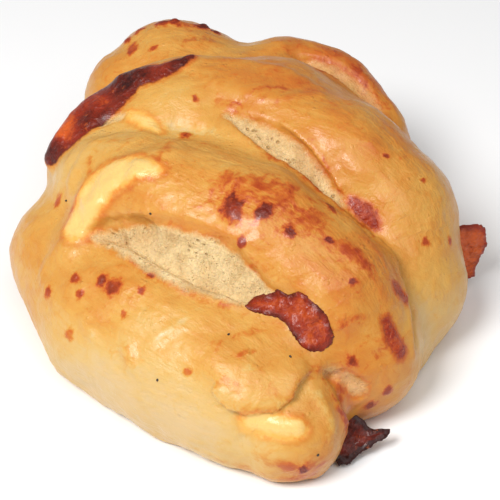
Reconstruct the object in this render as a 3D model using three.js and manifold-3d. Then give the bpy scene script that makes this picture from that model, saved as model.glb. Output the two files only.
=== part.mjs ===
// A twisted cheese bread roll, baked as one piece: one closed solid with its melted and burnt cheese.
// Millimetres, +Z up. The roll lies along Y with its pointed end towards -Y and rests on z = 0.
import * as THREE from "three";
import { mergeVertices } from "three/addons/utils/BufferGeometryUtils.js";
import Module from "manifold-3d";

// How finely the crust is faceted, as divisions of each edge of an icosahedron.
const MESH_DETAIL = 23;

// The dough's strands, each a chain of [x, y, z, radius] stations that the dough is rolled along.
const STRANDS = {
  frontLeft: [[-37, 1, 12, 17], [-30, -19, 10.5, 17.5], [-17, -33, 10, 17.5], [-4, -45, 10, 16]],
  tail: [[0, -46, 10, 14], [4, -53.5, 8.5, 12]],
  middle: [
    [-28, 7, 25, 15.5], [-13, -9, 29, 17.5], [3, -19, 28, 18], [14, -29, 22.5, 17],
    [19.5, -35.5, 12, 15.5],
  ],
  right: [[4, 10, 31, 18], [20, 3, 29, 19], [30, -6, 22, 18.5], [33, -16, 12.5, 16], [27, -25, 7, 13]],
  top: [[-28, 18.5, 23, 16.5], [-12, 20, 29, 19], [8, 18, 30, 19.5], [22, 13, 25, 17]],
  farRight: [[13.5, 38, 27, 15.5], [22.5, 34.5, 26.5, 15], [28, 26, 20, 15.5]],
  farLeft: [[-20.5, 44.5, 24, 15], [-13, 47, 27, 16.5], [0, 37, 26, 16]],
};
const STRAND_BLEND = 2.5;

// The middle of the loaf, which fills the hollow between the strands.
const CORE_CENTRE = new THREE.Vector3(0, 2, 12);
const CORE_RADII = new THREE.Vector3(46, 54, 28);
const CORE_BLEND = 5;

// The slashes cut in the dough before baking, as paths of [x, y, radius] seen from above. Each is a
// chain of balls that sinks into the dough.
const SLASHES = {
  front: [[-33, -15, 5], [-27, -20, 7], [-19, -27, 8], [-10, -33, 8], [-2, -38, 7], [3, -41, 5]],
  middle: [[-4, 8, 5], [2, 3, 6], [9, -3, 6], [16, -10, 6], [22, -17, 5], [26, -22, 4]],
  far: [[17, 35, 5], [25, 32, 6], [32, 27, 6], [37, 22, 5]],
};
const SLASH_DEPTH = 2.5;
const SLASH_BLEND = 2;

// Cheese and dough that swelled up out of the surface while the roll baked, as paths of that kind.
const SWELLS = {
  burntRidge: [[-41, 16, 4], [-37, 21, 5], [-30, 26, 5], [-20, 27, 5], [-10, 27, 4]],
  meltedCheese: [[-22, -9, 5], [-30, -8, 5], [-36, -8, 6], [-39, -12, 5]],
  tailLip: [[-10, -50, 5], [-5, -55, 5], [2, -55, 5], [9, -49, 4]],
};
const SWELL_RISE = 1.5;
const SWELL_BLEND = 3;

// The two crisp sheets of burnt cheese that ran out of the dough: an outline in the sheet's own
// plane, where that plane stands, and how far it leans and turns.
const SHEET_THICKNESS = 1.2;
const SHEET_BEVEL = 0.5;
const SHEETS = {
  frontSheet: {
    outline: [
      [-5, 7], [-1, 1], [3, -4], [5, -5], [9, -5], [7, -7], [3, -9], [0, -11], [-2, -12], [-4, -12], [-7, -4],
    ],
    at: [17, -49, 8],
    lean: 36,
    turn: 0,
  },
  rightSheet: {
    outline: [[-7, 6], [1, 7], [4, 6], [5, 2], [4, -4], [2, -10], [-7, -10]],
    at: [51, -5, 12],
    lean: 90,
    turn: 4,
  },
};

// Where the search for the crust starts and ends along each direction from the roll's heart.
const HEART_HEIGHT = 13;
const HEART_RADII = new THREE.Vector3(16, 36, 4);
const REACH_RADII = new THREE.Vector3(80, 90, 80);
const SEARCH_STEP = 0.01;
const SEARCH_HALVINGS = 18;

// How the dough's height and facing are found under a place seen from above.
const DOUGH_TOP = 60;
const HEIGHT_STEP = 0.05;
const NORMAL_STEP = 0.5;

const TABLE_SIZE = 400;

function smoothMin(a, b, blend) {
  const overlap = Math.max(blend - Math.abs(a - b), 0) / blend;
  return Math.min(a, b) - (overlap * overlap * blend) / 4;
}

// Distance from a point to a chain of stations with a round section between each two of them.
function chainDistance(point, stations) {
  let nearest = Infinity;
  for (let i = 0; i + 1 < stations.length; i += 1) {
    const [startX, startY, startZ, startRadius] = stations[i];
    const [endX, endY, endZ, endRadius] = stations[i + 1];
    const start = new THREE.Vector3(startX, startY, startZ);
    const end = new THREE.Vector3(endX, endY, endZ);
    const line = new THREE.Line3(start, end);
    const along = line.closestPointToPointParameter(point, true);
    const gap = line.at(along, new THREE.Vector3()).distanceTo(point);
    nearest = Math.min(nearest, gap - THREE.MathUtils.lerp(startRadius, endRadius, along));
  }
  return nearest;
}

function coreDistance(point) {
  const unit = point.clone().sub(CORE_CENTRE).divide(CORE_RADII);
  const size = unit.length();
  const slope = unit.divide(CORE_RADII).length();
  return slope === 0 ? -CORE_RADII.z : (size * (size - 1)) / slope;
}

// Below zero inside the dough before it was slashed and before anything swelled.
function doughDistance(point) {
  let strands = Infinity;
  for (const stations of Object.values(STRANDS)) {
    const strand = chainDistance(point, stations);
    strands = strands === Infinity ? strand : smoothMin(strands, strand, STRAND_BLEND);
  }
  return smoothMin(coreDistance(point), strands, CORE_BLEND);
}

// The direction that the dough's surface faces at a point on it.
function doughNormal(point) {
  const slope = ["x", "y", "z"].map((axis) => {
    const ahead = point.clone();
    ahead[axis] += NORMAL_STEP;
    return doughDistance(ahead) - doughDistance(point);
  });
  return new THREE.Vector3(...slope).normalize();
}

// Turns a path seen from above into a chain of balls, each set off the dough below it.
function ballsAlong(path, offset) {
  return path.map(([x, y, radius]) => {
    const point = new THREE.Vector3(x, y, DOUGH_TOP);
    while (point.z > 0 && doughDistance(point) > 0) {
      point.z -= HEIGHT_STEP;
    }
    point.addScaledVector(doughNormal(point), offset(radius));
    return [point.x, point.y, point.z, radius];
  });
}

const slashChains = Object.values(SLASHES).map((path) => ballsAlong(path, (radius) => radius - SLASH_DEPTH));
const swellChains = Object.values(SWELLS).map((path) => ballsAlong(path, (radius) => SWELL_RISE - radius));

// Below zero inside the roll: dough, less its slashes, with its swells.
function rollDistance(point) {
  let distance = doughDistance(point);
  for (const chain of slashChains) {
    distance = -smoothMin(-distance, chainDistance(point, chain), SLASH_BLEND);
  }
  for (const chain of swellChains) {
    distance = smoothMin(distance, chainDistance(point, chain), SWELL_BLEND);
  }
  return distance;
}

// Walks in from well outside the roll along one direction until it meets the crust.
function surfacePoint(direction) {
  const heart = new THREE.Vector3(0, 0, HEART_HEIGHT);
  const inner = direction.clone().multiply(HEART_RADII).add(heart);
  const outer = direction.clone().multiply(REACH_RADII).add(heart);
  const point = outer.clone();
  let inside = 1;
  while (inside > 0 && rollDistance(point) >= 0) {
    inside -= SEARCH_STEP;
    point.lerpVectors(inner, outer, inside);
  }
  let outside = inside + SEARCH_STEP;
  for (let i = 0; i < SEARCH_HALVINGS; i += 1) {
    const middle = (inside + outside) / 2;
    point.lerpVectors(inner, outer, middle);
    if (rollDistance(point) < 0) {
      inside = middle;
    } else {
      outside = middle;
    }
  }
  return point.lerpVectors(inner, outer, inside);
}

function loafGeometry() {
  const sphere = new THREE.IcosahedronGeometry(1, MESH_DETAIL);
  sphere.deleteAttribute("normal");
  sphere.deleteAttribute("uv");
  const geometry = mergeVertices(sphere, 1e-5);
  const position = geometry.getAttribute("position");
  for (let i = 0; i < position.count; i += 1) {
    const point = surfacePoint(new THREE.Vector3().fromBufferAttribute(position, i).normalize());
    position.setXYZ(i, point.x, point.y, point.z);
  }
  return geometry;
}

function sheetGeometry({ outline, at, lean, turn }) {
  const shape = new THREE.Shape(outline.map(([x, y]) => new THREE.Vector2(x, y)));
  const geometry = new THREE.ExtrudeGeometry(shape, {
    depth: SHEET_THICKNESS,
    bevelThickness: SHEET_BEVEL,
    bevelSize: SHEET_BEVEL,
    bevelSegments: 2,
  });
  geometry.translate(0, 0, -SHEET_THICKNESS / 2);
  geometry.rotateX(THREE.MathUtils.degToRad(lean));
  geometry.rotateZ(THREE.MathUtils.degToRad(turn));
  return geometry.translate(...at);
}

const wasm = await Module();
wasm.setup();

function solidFrom(geometry) {
  const bare = geometry.clone();
  bare.deleteAttribute("normal");
  bare.deleteAttribute("uv");
  const merged = mergeVertices(bare, 1e-3);
  const triVerts = new Uint32Array(merged.index.array);
  const vertProperties = merged.attributes.position.array;
  return new wasm.Manifold(new wasm.Mesh({ numProp: 3, vertProperties, triVerts }));
}

function geometryFrom(solid) {
  const mesh = solid.getMesh();
  const geometry = new THREE.BufferGeometry();
  geometry.setAttribute("position", new THREE.BufferAttribute(mesh.vertProperties, 3));
  geometry.setIndex(new THREE.BufferAttribute(mesh.triVerts, 1));
  geometry.computeVertexNormals();
  return geometry;
}

let roll = solidFrom(loafGeometry());
for (const sheet of Object.values(SHEETS)) {
  roll = roll.add(solidFrom(sheetGeometry(sheet)));
}
const table = new THREE.BoxGeometry(TABLE_SIZE, TABLE_SIZE, TABLE_SIZE);
table.translate(0, 0, -TABLE_SIZE / 2);
roll = roll.subtract(solidFrom(table));

// The frame's origin is the centre of the roll's footprint.
const rollGeometry = geometryFrom(roll);
rollGeometry.computeBoundingBox();
const middle = rollGeometry.boundingBox.getCenter(new THREE.Vector3());
rollGeometry.translate(-middle.x, -middle.y, 0);

const crust = new THREE.MeshStandardMaterial({ color: 0xdc9a4a, roughness: 0.45, metalness: 0 });
const breadRoll = new THREE.Mesh(rollGeometry, crust);
breadRoll.name = "bread_roll";

const model = new THREE.Group();
model.add(breadRoll);
export default model;
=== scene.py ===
"""A twisted cheese bread roll: split crust, open crumb, melted cheese and crisp burnt cheese."""
import math
from contextlib import contextmanager

import bmesh
import bpy
import numpy as np
from bpy.props import FloatProperty, FloatVectorProperty, IntProperty, PointerProperty
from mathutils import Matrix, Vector, noise
from mathutils.bvhtree import BVHTree


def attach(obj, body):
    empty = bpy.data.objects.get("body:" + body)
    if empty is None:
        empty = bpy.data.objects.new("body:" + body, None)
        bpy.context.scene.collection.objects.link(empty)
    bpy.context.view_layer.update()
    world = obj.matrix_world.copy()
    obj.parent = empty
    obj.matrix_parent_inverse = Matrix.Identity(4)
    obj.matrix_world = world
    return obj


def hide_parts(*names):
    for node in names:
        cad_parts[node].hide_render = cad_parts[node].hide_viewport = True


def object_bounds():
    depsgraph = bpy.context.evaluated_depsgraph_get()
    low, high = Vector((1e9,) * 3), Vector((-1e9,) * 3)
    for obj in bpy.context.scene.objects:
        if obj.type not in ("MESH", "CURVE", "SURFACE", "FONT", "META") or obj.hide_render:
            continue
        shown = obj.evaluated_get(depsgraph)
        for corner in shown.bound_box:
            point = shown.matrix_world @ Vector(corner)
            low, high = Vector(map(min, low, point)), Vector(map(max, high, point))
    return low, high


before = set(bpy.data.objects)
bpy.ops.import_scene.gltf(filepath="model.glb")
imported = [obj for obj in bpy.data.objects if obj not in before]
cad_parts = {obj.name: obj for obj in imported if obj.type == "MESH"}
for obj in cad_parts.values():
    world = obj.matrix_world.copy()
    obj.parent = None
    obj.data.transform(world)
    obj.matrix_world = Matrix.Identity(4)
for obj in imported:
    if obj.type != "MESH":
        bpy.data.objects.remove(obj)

bl_info = {
    "name": "Twisted cheese roll",
    "version": (1, 0, 0),
    "blender": (4, 5, 0),
    "location": "View3D > Sidebar > Bread",
    "description": "Shapes and finishes a twisted cheese roll over its packed solid",
    "category": "Object",
}

CAD_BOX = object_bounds()
MM = 0.001
BODY = "root"
NODE = "bread_roll"


def srgb(red, green, blue):
    """A screen colour of 0 to 255 as the linear colour that shaders use."""
    def linear(level):
        level /= 255
        return level / 12.92 if level <= 0.04045 else ((level + 0.055) / 1.055) ** 2.4
    return linear(red), linear(green), linear(blue)


# ---------------------------------------------------------------------------------------------
# The roll's features, in millimetres. A place is (x, y) seen from above or (x, None, z) seen from
# the front, and the crust gives the third number. Three numbers mean the nearest place on the crust.
# A trail ends each place with its half-width.

# The lines that the dough's strands were rolled along, with their radii.
STRANDS = [
    [(-38, 2, 12, 17), (-31, -18, 10, 17), (-18, -32, 10, 17), (-5, -44, 10, 16), (3, -53, 9, 12)],
    [(-29, 8, 25, 15), (-14, -8, 29, 17), (2, -18, 28, 18), (13, -28, 22, 17), (18, -35, 12, 15)],
    [(3, 11, 31, 18), (19, 4, 29, 19), (29, -5, 22, 18), (32, -15, 12, 16)],
    [(-29, 19, 23, 16), (-13, 21, 29, 19), (7, 19, 30, 19), (21, 14, 25, 17)],
    [(12, 39, 27, 15), (21, 35, 26, 15), (27, 27, 20, 15)],
    [(-22, 45, 24, 15), (-14, 48, 27, 16), (-1, 38, 26, 16)],
]

# How far the crust is baked around a place, from 0, pale, to 1, dark.
BAKED = [
    ((-47, -3), 0.42), ((-36, -24), 0.44), ((-35, None, 9), 0.02), ((-20, None, 10), 0.04),
    ((-5, -47), 0.42), ((-6, None, 12), 0.12), ((2, None, 8), 0.45), ((19, None, 16), 0.56),
    ((-3, -25), 0.55), ((-6, -7), 0.4), ((20, -37), 0.52), ((25, -1), 0.5), ((41, -13), 0.44),
    ((37, None, 11), 0.2), ((5, 16), 0.55), ((-21, 12), 0.3), ((-17, 44), 0.44), ((29, 36), 0.6),
    ((-42, 10), 0.26), ((-13, 60), 0.46), ((0, 0, 0), 0.55),
]

# The creases. Each runs with its raised lip on the right of its direction: places, rise of the lip,
# depth of the groove, how far the groove runs out, overhang of the lip, width of the lip.
CREASES = [
    ([(-37, -13), (-33, -14), (-29, -18), (-25, -22), (-20, -27), (-16, -31), (-10, -34), (-4, -38)],
     0.8, 1.6, 2.2, 0.7, 1.5),
    ([(-6, 10), (0, -1), (6, -6), (12, -11), (20, -17), (24, -20), (28, -25), (30, None, 20),
      (30, None, 13)], 0.5, 1.3, 2.4, 0.4, 1.5),
    ([(11, 38), (17, 35), (22, 31), (27, 28), (34, 22)], 0.4, 1.4, 2.5, 0.4, 1.5),
    ([(19, -13), (15, -6), (11, -1), (6, 4)], 0.8, 0.7, 3, 0.8, 1.5),
    # The flap over the tail's cheese, the fold on the tail's right and the crack on its left.
    ([(8, None, 22), (4, None, 23), (1, None, 20), (-4, None, 19), (-10, None, 19), (-13, None, 21),
      (-12, None, 24)], 1, 1.5, 2, 1, 3.5),
    ([(9, None, 21), (11, None, 18), (13, None, 14), (14, None, 10)], 0.8, 1.2, 1.3, 0.4, 2),
    ([(-7, None, 12), (-8, None, 16), (-7, None, 19)], 0.3, 1.8, 0.6, 0.4, 1.5),
]

# Skins of dough that lie on top of the rest: how thick each is, and its trail.
SKINS = [
    (0.4, [(-42, -18, 8), (-33, -28, 8), (-25, -34, 6)]),
    (0.6, [(-38, -1, 4), (-32, 4, 6), (-25, 2, 6), (-18, -4, 4)]),
    (0.5, [(-9, 25, 4), (0, 18, 7), (9, 13, 7), (15, 12, 4)]),
]

# Strokes along the crust: places, width, how far raised, and how much browner, -1 to 1.
STROKES = [
    # The middle strand's streaks, from upper left to lower right, and the gold along its lip.
    ([(-7, -16), (-1, -18)], 1.6, 0.2, 0.5),
    ([(1, -20), (7, -22), (12, -26)], 3, 0.1, 0.42),
    ([(-10, -20), (-3, -22), (4, -27)], 3.5, 0.1, 0.38),
    ([(6, -27), (12, -30), (17, -34)], 3, 0.1, 0.45),
    ([(-12, -14), (-2, -16), (8, -18)], 3, 0.1, 0.3),
    ([(17, None, 38), (20, None, 36), (22, None, 34)], 1.4, 0.2, 0.7),
    ([(-3, None, 36), (3, None, 35), (8, None, 33)], 1.6, 0.1, 0.45),
    ([(3, -5), (7, -8), (13, -12)], 1.2, 0.1, 0.4),
    ([(13, None, 29), (18, None, 29)], 1.4, 0.2, 0.5),
    ([(20, None, 27), (22, None, 22)], 2.2, 0.1, 0.5),
    # The knob, and the golden skin over the melted cheese.
    ([(-15, 4), (-17, -3), (-20, -7)], 1.6, 0.4, 0.6),
    ([(-13, 1), (-8, -3)], 1.4, 0.1, 0.4),
    ([(-33, 6), (-26, 4), (-20, 1)], 3, 0.3, 0.35),
    ([(-35, 3), (-36, -3), (-40, -5)], 0.9, 0.4, 0.6),
    # The tail: streaks on top, the flap's gold, the brown bottom, and the folds on its right.
    ([(-13, None, 26), (-9, None, 27)], 1.2, 0.2, 0.6),
    ([(-7, None, 27), (-3, None, 27)], 1.2, 0.2, 0.65),
    ([(-8, None, 26), (-4, None, 26)], 1, 0.2, 0.75),
    ([(-12, None, 23), (-10, None, 24), (-8, None, 23)], 1, 0.2, 0.65),
    ([(-9, None, 22), (-4, None, 22), (0, None, 22)], 3, 0.2, 0.35),
    ([(6, None, 22), (9, None, 22)], 1, 0.2, 0.6),
    ([(-4, None, 10), (1, None, 9), (8, None, 8)], 2.4, 0.2, 0.85),
    ([(-8, None, 5), (-2, None, 4), (6, None, 4)], 1.2, 0.2, 0.6),
    ([(13, None, 16), (14, None, 12), (13, None, 7)], 1.2, 0.3, 0.6),
    ([(-7, None, 14), (-3, None, 16), (3, None, 15)], 0.9, -0.5, 0.1),
    ([(5, None, 21), (8, None, 20), (10, None, 16), (10, None, 11)], 1.6, 0.7, -0.5),
    ([(12, None, 18), (14, None, 16)], 2.2, 0.5, 0.5),
    # The front left strand: gold under its lip, the pale scab, the big yellow blister, its folds.
    ([(-27, -22), (-21, -28), (-15, -33)], 2, 0.1, 0.42),
    ([(-14, None, 29), (-9, None, 29)], 1, 0.2, 0.65),
    ([(-17, None, 28), (-22, None, 26), (-26, None, 23)], 1, 0.4, -0.7),
    ([(-31, None, 20), (-28, None, 22)], 3, 0.8, 0.6),
    ([(-39, None, 22), (-36, None, 20), (-36, None, 18)], 0.9, 0.4, -0.3),
    ([(-40, None, 9), (-37, None, 10)], 1, 0.3, 0.2),
    ([(-50, 3), (-45, 1)], 0.5, -0.35, -0.6),
    ([(-17, None, 6), (-10, None, 4), (-5, None, 3)], 1.4, 0.3, 0.6),
    # The back lobes and the top.
    ([(-16, 52), (-10, 51), (-4, 50)], 1.6, 0.3, 0.7),
    ([(-11, 43), (-4, 44)], 1.2, 0.2, 0.6),
    ([(25, 40), (32, 34), (37, 28)], 2.2, 0.1, 0.4),
    ([(3, 12), (9, 11)], 1.2, 0.2, 0.5),
    ([(-6, 12), (-2, 10)], 1.4, 0.2, 0.7),
    # Pale ridges and torn valleys.
    ([(23, -5), (30, -5), (35, -3)], 0.8, 0.35, -0.4),
    ([(-18, 9), (-13, 7), (-8, 4)], 1.3, -0.5, -0.8),
    ([(-7, None, 25), (-5, None, 25)], 0.8, 0.1, -0.7),
]

# Trails of torn crumb: the share of bare crumb over thin crust, and the trail.
CRUMB = [
    (1.0, [(-36, -12, 1.2), (-30, -14, 3.5), (-20, -22, 6.5), (-10, -29, 7), (-4, -34, 4.5), (1, -37, 2)]),
    (0.85, [(-4, 8, 1.5), (1, 3, 3), (8, -2, 3.5), (12, -7, 3), (16, -11, 2), (19, -14, 1)]),
    (0.4, [(16, 37, 1.5), (21, 35, 2.5), (26, 32, 3), (31, 29, 2.5), (34, 25, 1)]),
    (0.45, [(10, None, 20, 1.5), (14, None, 18, 2), (17, None, 15, 2.5)]),
    (0.9, [(-32, 15, 1.2), (-27, 15, 1.2)]),
]

# Trails of burnt cheese that is fused with the crust: how far it stands up, and the trail. The
# first is the long ridge.
BURNT = [
    (0.7, [(-44, 14, 3), (-39, 17, 5), (-34, 21, 6.5), (-29, 24, 6), (-24, 25, 4.5), (-19, 23, 3),
           (-14, 25, 2), (-11, 27, 1.3)]),
    (0.4, [(24, None, 26, 1), (25, None, 23, 1.6), (27, None, 20, 1.4)]),
    (0.2, [(27, None, 29, 0.8), (29, None, 26, 0.8)]),
    (0.9, [(21, -14, 1), (23, -16, 1.8), (25, -18, 0.8)]),
]

# Trails of melted cheese: how far it stands up, how deep its folds are, and the trail.
CHEESE = [
    (0.6, 1.0, [(-21, -11, 1.5), (-26, -8, 3.5), (-31, -6, 4.5), (-35, -7, 4.5), (-39, -10, 3.5)]),
    (0.9, 0.6, [(-26, 14, 1.2), (-23, 11, 1.8), (-20, 7, 1.5)]),
    (0.5, 0.3, [(-6, None, 17, 2.4), (-2, None, 17, 2.8), (3, None, 17, 2.2)]),
]

# The leathery scab of red-brown cheese: its outline.
RED_PATCH = [
    (-6, None, 29), (-2, None, 30), (1, None, 31), (1, None, 33), (4, None, 32), (6, None, 34),
    (8, None, 33), (11, None, 31), (13, None, 27), (12, None, 24), (8, None, 24), (5, None, 25),
    (2, None, 28), (-3, None, 28),
]

# Lumps of the burnt ridge: place, radius, height, how charred.
RIDGE_LUMPS = [
    ((-44, 15), 3, 1, 0.8), ((-41, 18), 3, 0.5, 0.1), ((-35, 17), 2.5, 0.9, 0.85),
    ((-33, 21), 3, 0.6, 0.4), ((-27, 26), 3, 1.2, 0.95), ((-23, 25), 2.2, 0.8, 0.8),
    ((-18, 24), 1.6, 0.6, 0.5), ((-14, 25), 1.5, 0.5, 0.85),
]

# Blisters of browned cheese: place, radius, height above the crust, how burnt from 0 to 1.
BLISTERS = [
    # The middle strand.
    ((-6, -24), 2.7, 0.8, 0.45), ((0, -26), 2, 0.9, 0.7), ((5, -30), 1.2, 0.7, 0.7),
    ((-5, -30), 1.2, 0.5, 0.5), ((13, -31), 0.9, 0.3, 0.6), ((15, -21), 1.2, 0.4, 0.3),
    ((17, None, 35), 0.8, 0.3, 0.4),
    # The tail and its right side.
    ((24, None, 13), 1.3, 0.5, 0.4), ((20, None, 10), 1, 0.4, 0.4), ((16, None, 21), 1, 0.2, 0.2),
    ((4, None, 8), 1.2, 0.4, 0.5), ((-18, None, 22), 0.9, 0.2, 0.05),
    # The front left strand.
    ((-40, None, 26), 1.3, 0.5, 0.15), ((-34, None, 28), 1.2, 0.5, 0.2), ((-32, None, 28), 1.9, 0.5, 0.15),
    ((-46, None, 21), 1, 0.3, 0.1), ((-39, None, 25), 1, 0.4, 0.1), ((-42, None, 18), 1.2, 0.4, 0.1),
    ((-30, None, 26), 0.8, 0.2, 0.05), ((-24, None, 30), 0.9, 0.3, 0.4), ((-26, None, 29), 1, 0.2, 0.2),
    ((-43, 1), 1.3, 0.3, 0.3),
    # The knob, the top and the right side.
    ((-14, 5), 1.5, 1.3, 0.3), ((-11, 13), 0.8, 0.4, 0.5), ((36, -21), 1, 0.2, 0.2),
    ((42, -18), 0.8, 0.2, 0.3), ((37, -10), 0.6, 0.1, 0.3), ((29, -7), 0.6, 0.1, 0.3),
    # The far left lobe and its dark rim.
    ((-24, 46), 1.9, 0.3, 0.25), ((-19, 43), 1, 0.3, 0.2), ((-25, 51), 1.3, 0.8, 0.4),
    ((-22, 52), 1.3, 0.8, 0.4), ((-16, 52), 1.8, 1, 0.5), ((-13, 52), 1.8, 1, 0.5), ((-6, 51), 1.6, 1, 0.75),
    ((-3, 49), 1.4, 0.8, 0.8),
]

PEPPER = [(-41, None, 31), (-23, -18), (-24, None, 19), (-9, None, 27), (3, None, 25), (7, None, 11)]

# Open bubbles in the crumb: place, radius, depth.
CRUMB_PORES = [
    ((-25, -18), 3, 2.6), ((-13, None, 33), 1.1, 1.4), ((-13, None, 32), 0.9, 1.1),
    ((-17, None, 35), 0.8, 0.5), ((-2, None, 31), 1.5, 1), ((8, -3), 0.7, 0.5), ((17, 36), 1.3, 1.6),
    ((-13, 7), 0.8, 0.5), ((-9, 5), 0.7, 0.5),
]

# The burnt sheets: outline in the sheet's own plane, where that plane stands, lean and turn.
FRONT_SHEET = {
    "outline": [(-5, 7), (-1, 1), (3, -4), (5, -5), (9, -5), (7, -7), (3, -9), (0, -11), (-2, -12), (-4, -12),
                (-7, -4)],
    "at": (16, -48, 8), "lean": 36, "turn": 0,
}
RIGHT_SHEET = {
    "outline": [(-7, 6), (1, 7), (4, 6), (5, 2), (4, -4), (2, -10), (-7, -10)],
    "at": (50, -4, 12), "lean": 90, "turn": 4,
}

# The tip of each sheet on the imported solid, how sharp a corner ends a sheet where it meets bread,
# and how near the table a sheet may hang.
FRONT_TIP = Vector((24.4, -51.5, 5.6)) * MM
RIGHT_TIP = Vector((CAD_BOX[1][0], -4.3 * MM, 12 * MM))
INNER_CORNER = math.radians(-24)
LOWEST_SHEET = 0.6

# The studio. Lights: azimuth and elevation in degrees, with azimuth 0 straight in front, then
# distance and size in metres. The camera aims at a place in the roll and takes in the view's width.
KEY_LIGHT = (-48, 52, 0.7, 0.32)
FILL_LIGHT = (35, 62, 0.8, 0.7)
CAMERA_AZIMUTH = -6
CAMERA_ELEVATION = 40
AIM = Vector((-1.24, -11.27, 22)) * MM
VIEW_WIDTH = 111 * MM
SENSOR_WIDTH = 36
FLOOR_SIZE = 6


# ---------------------------------------------------------------------------------------------
# Lines, outlines and the crust as clay.

# How far beyond a trail its depth is still worked out, and how far off the roll a search for the
# crust starts.
FAR = 6.0
CLEAR = 200.0

# Burnt cheese to the left of this belongs to the long ridge.
RIDGE_END = -5

# Fewer points than this mean that the crust was lost on the way.
FEWEST_POINTS = 1000


def rounded(points, closed=False, times=2):
    """A line through given points with its corners cut, so that it bends softly."""
    line = np.array(points, float)
    for _ in range(times):
        ahead = np.roll(line, -1, axis=0) if closed else line[1:]
        here = line if closed else line[:-1]
        cut = np.empty((len(here) * 2, line.shape[1]))
        cut[0::2] = here * 0.75 + ahead * 0.25
        cut[1::2] = here * 0.25 + ahead * 0.75
        line = cut if closed else np.vstack([line[:1], cut, line[-1:]])
    return line


def follow(points, line):
    """Each point's distance to a line, how far along that is from 0 to 1, its foot and direction."""
    steps = np.diff(line, axis=0)
    lengths = np.maximum(np.linalg.norm(steps, axis=1), 1e-6)
    before = np.concatenate([[0], np.cumsum(lengths)])
    gap = np.full(len(points), np.inf)
    along = np.zeros(len(points))
    foot = np.zeros((len(points), 3))
    way = np.zeros((len(points), 3))
    for start, step, length, travelled in zip(line, steps, lengths, before):
        share = np.clip((points - start) @ step / length ** 2, 0, 1)
        spot = start + share[:, None] * step
        distance = np.linalg.norm(points - spot, axis=1)
        closer = distance < gap
        gap[closer] = distance[closer]
        along[closer] = (travelled + share[closer] * length) / before[-1]
        foot[closer] = spot[closer]
        way[closer] = step / length
    return gap, along, foot, way


def inside(flat, corners):
    """How far each flat point is inside a closed flat outline, negative outside."""
    gap = np.full(len(flat), np.inf)
    within = np.zeros(len(flat), bool)
    for start, end in zip(corners, np.roll(corners, -1, axis=0)):
        step = end - start
        share = np.clip((flat - start) @ step / max(step @ step, 1e-9), 0, 1)
        gap = np.minimum(gap, np.linalg.norm(flat - start - share[:, None] * step, axis=1))
        crosses = (start[1] > flat[:, 1]) != (end[1] > flat[:, 1])
        rise = end[1] - start[1] if end[1] != start[1] else 1e-9
        within ^= crosses & (flat[:, 0] < start[0] + (flat[:, 1] - start[1]) * step[0] / rise)
    return np.where(within, gap, -gap)


def bump(value, width):
    """A smooth hump: 1 at zero, and almost nothing beyond twice the width."""
    return np.exp(-(value / width) ** 2)


def ease(value, low, high):
    """0 below low, 1 above high and a smooth step between them."""
    share = np.clip((value - low) / (high - low), 0, 1)
    return share * share * (3 - 2 * share)


def ends(along, low, high):
    """1 along a line, with a smooth fall to 0 near both ends."""
    return ease(along, low, high) * ease(1 - along, low, high)


def spread(points, levels, core):
    """A smooth blend of levels that are each given at a place. A larger core blends more softly."""
    total = np.zeros(len(points))
    level = np.zeros(len(points))
    for place, value in levels:
        weight = 1 / (np.linalg.norm(points - place, axis=1) ** 3 + core)
        total += weight
        level += weight * value
    return level / total


def ripple(points, size, octaves=2, seed=0.0):
    """Smooth noise of about that size in millimetres, from -1 to 1, at each point."""
    shift = Vector((seed, seed * 0.7, seed * 1.3))
    return np.array([noise.fractal(Vector(p) / size + shift, 1.0, 2.0, octaves) for p in points])


def read_vectors(obj, field):
    """A vector of every vertex, such as its place or its normal."""
    flat = np.empty(len(obj.data.vertices) * 3)
    obj.data.vertices.foreach_get(field, flat)
    return flat.reshape(-1, 3)


def write_points(obj, points):
    """Moves the vertices to these places, which are in millimetres."""
    obj.data.vertices.foreach_set("co", (points * MM).ravel())
    obj.data.update()


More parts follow.
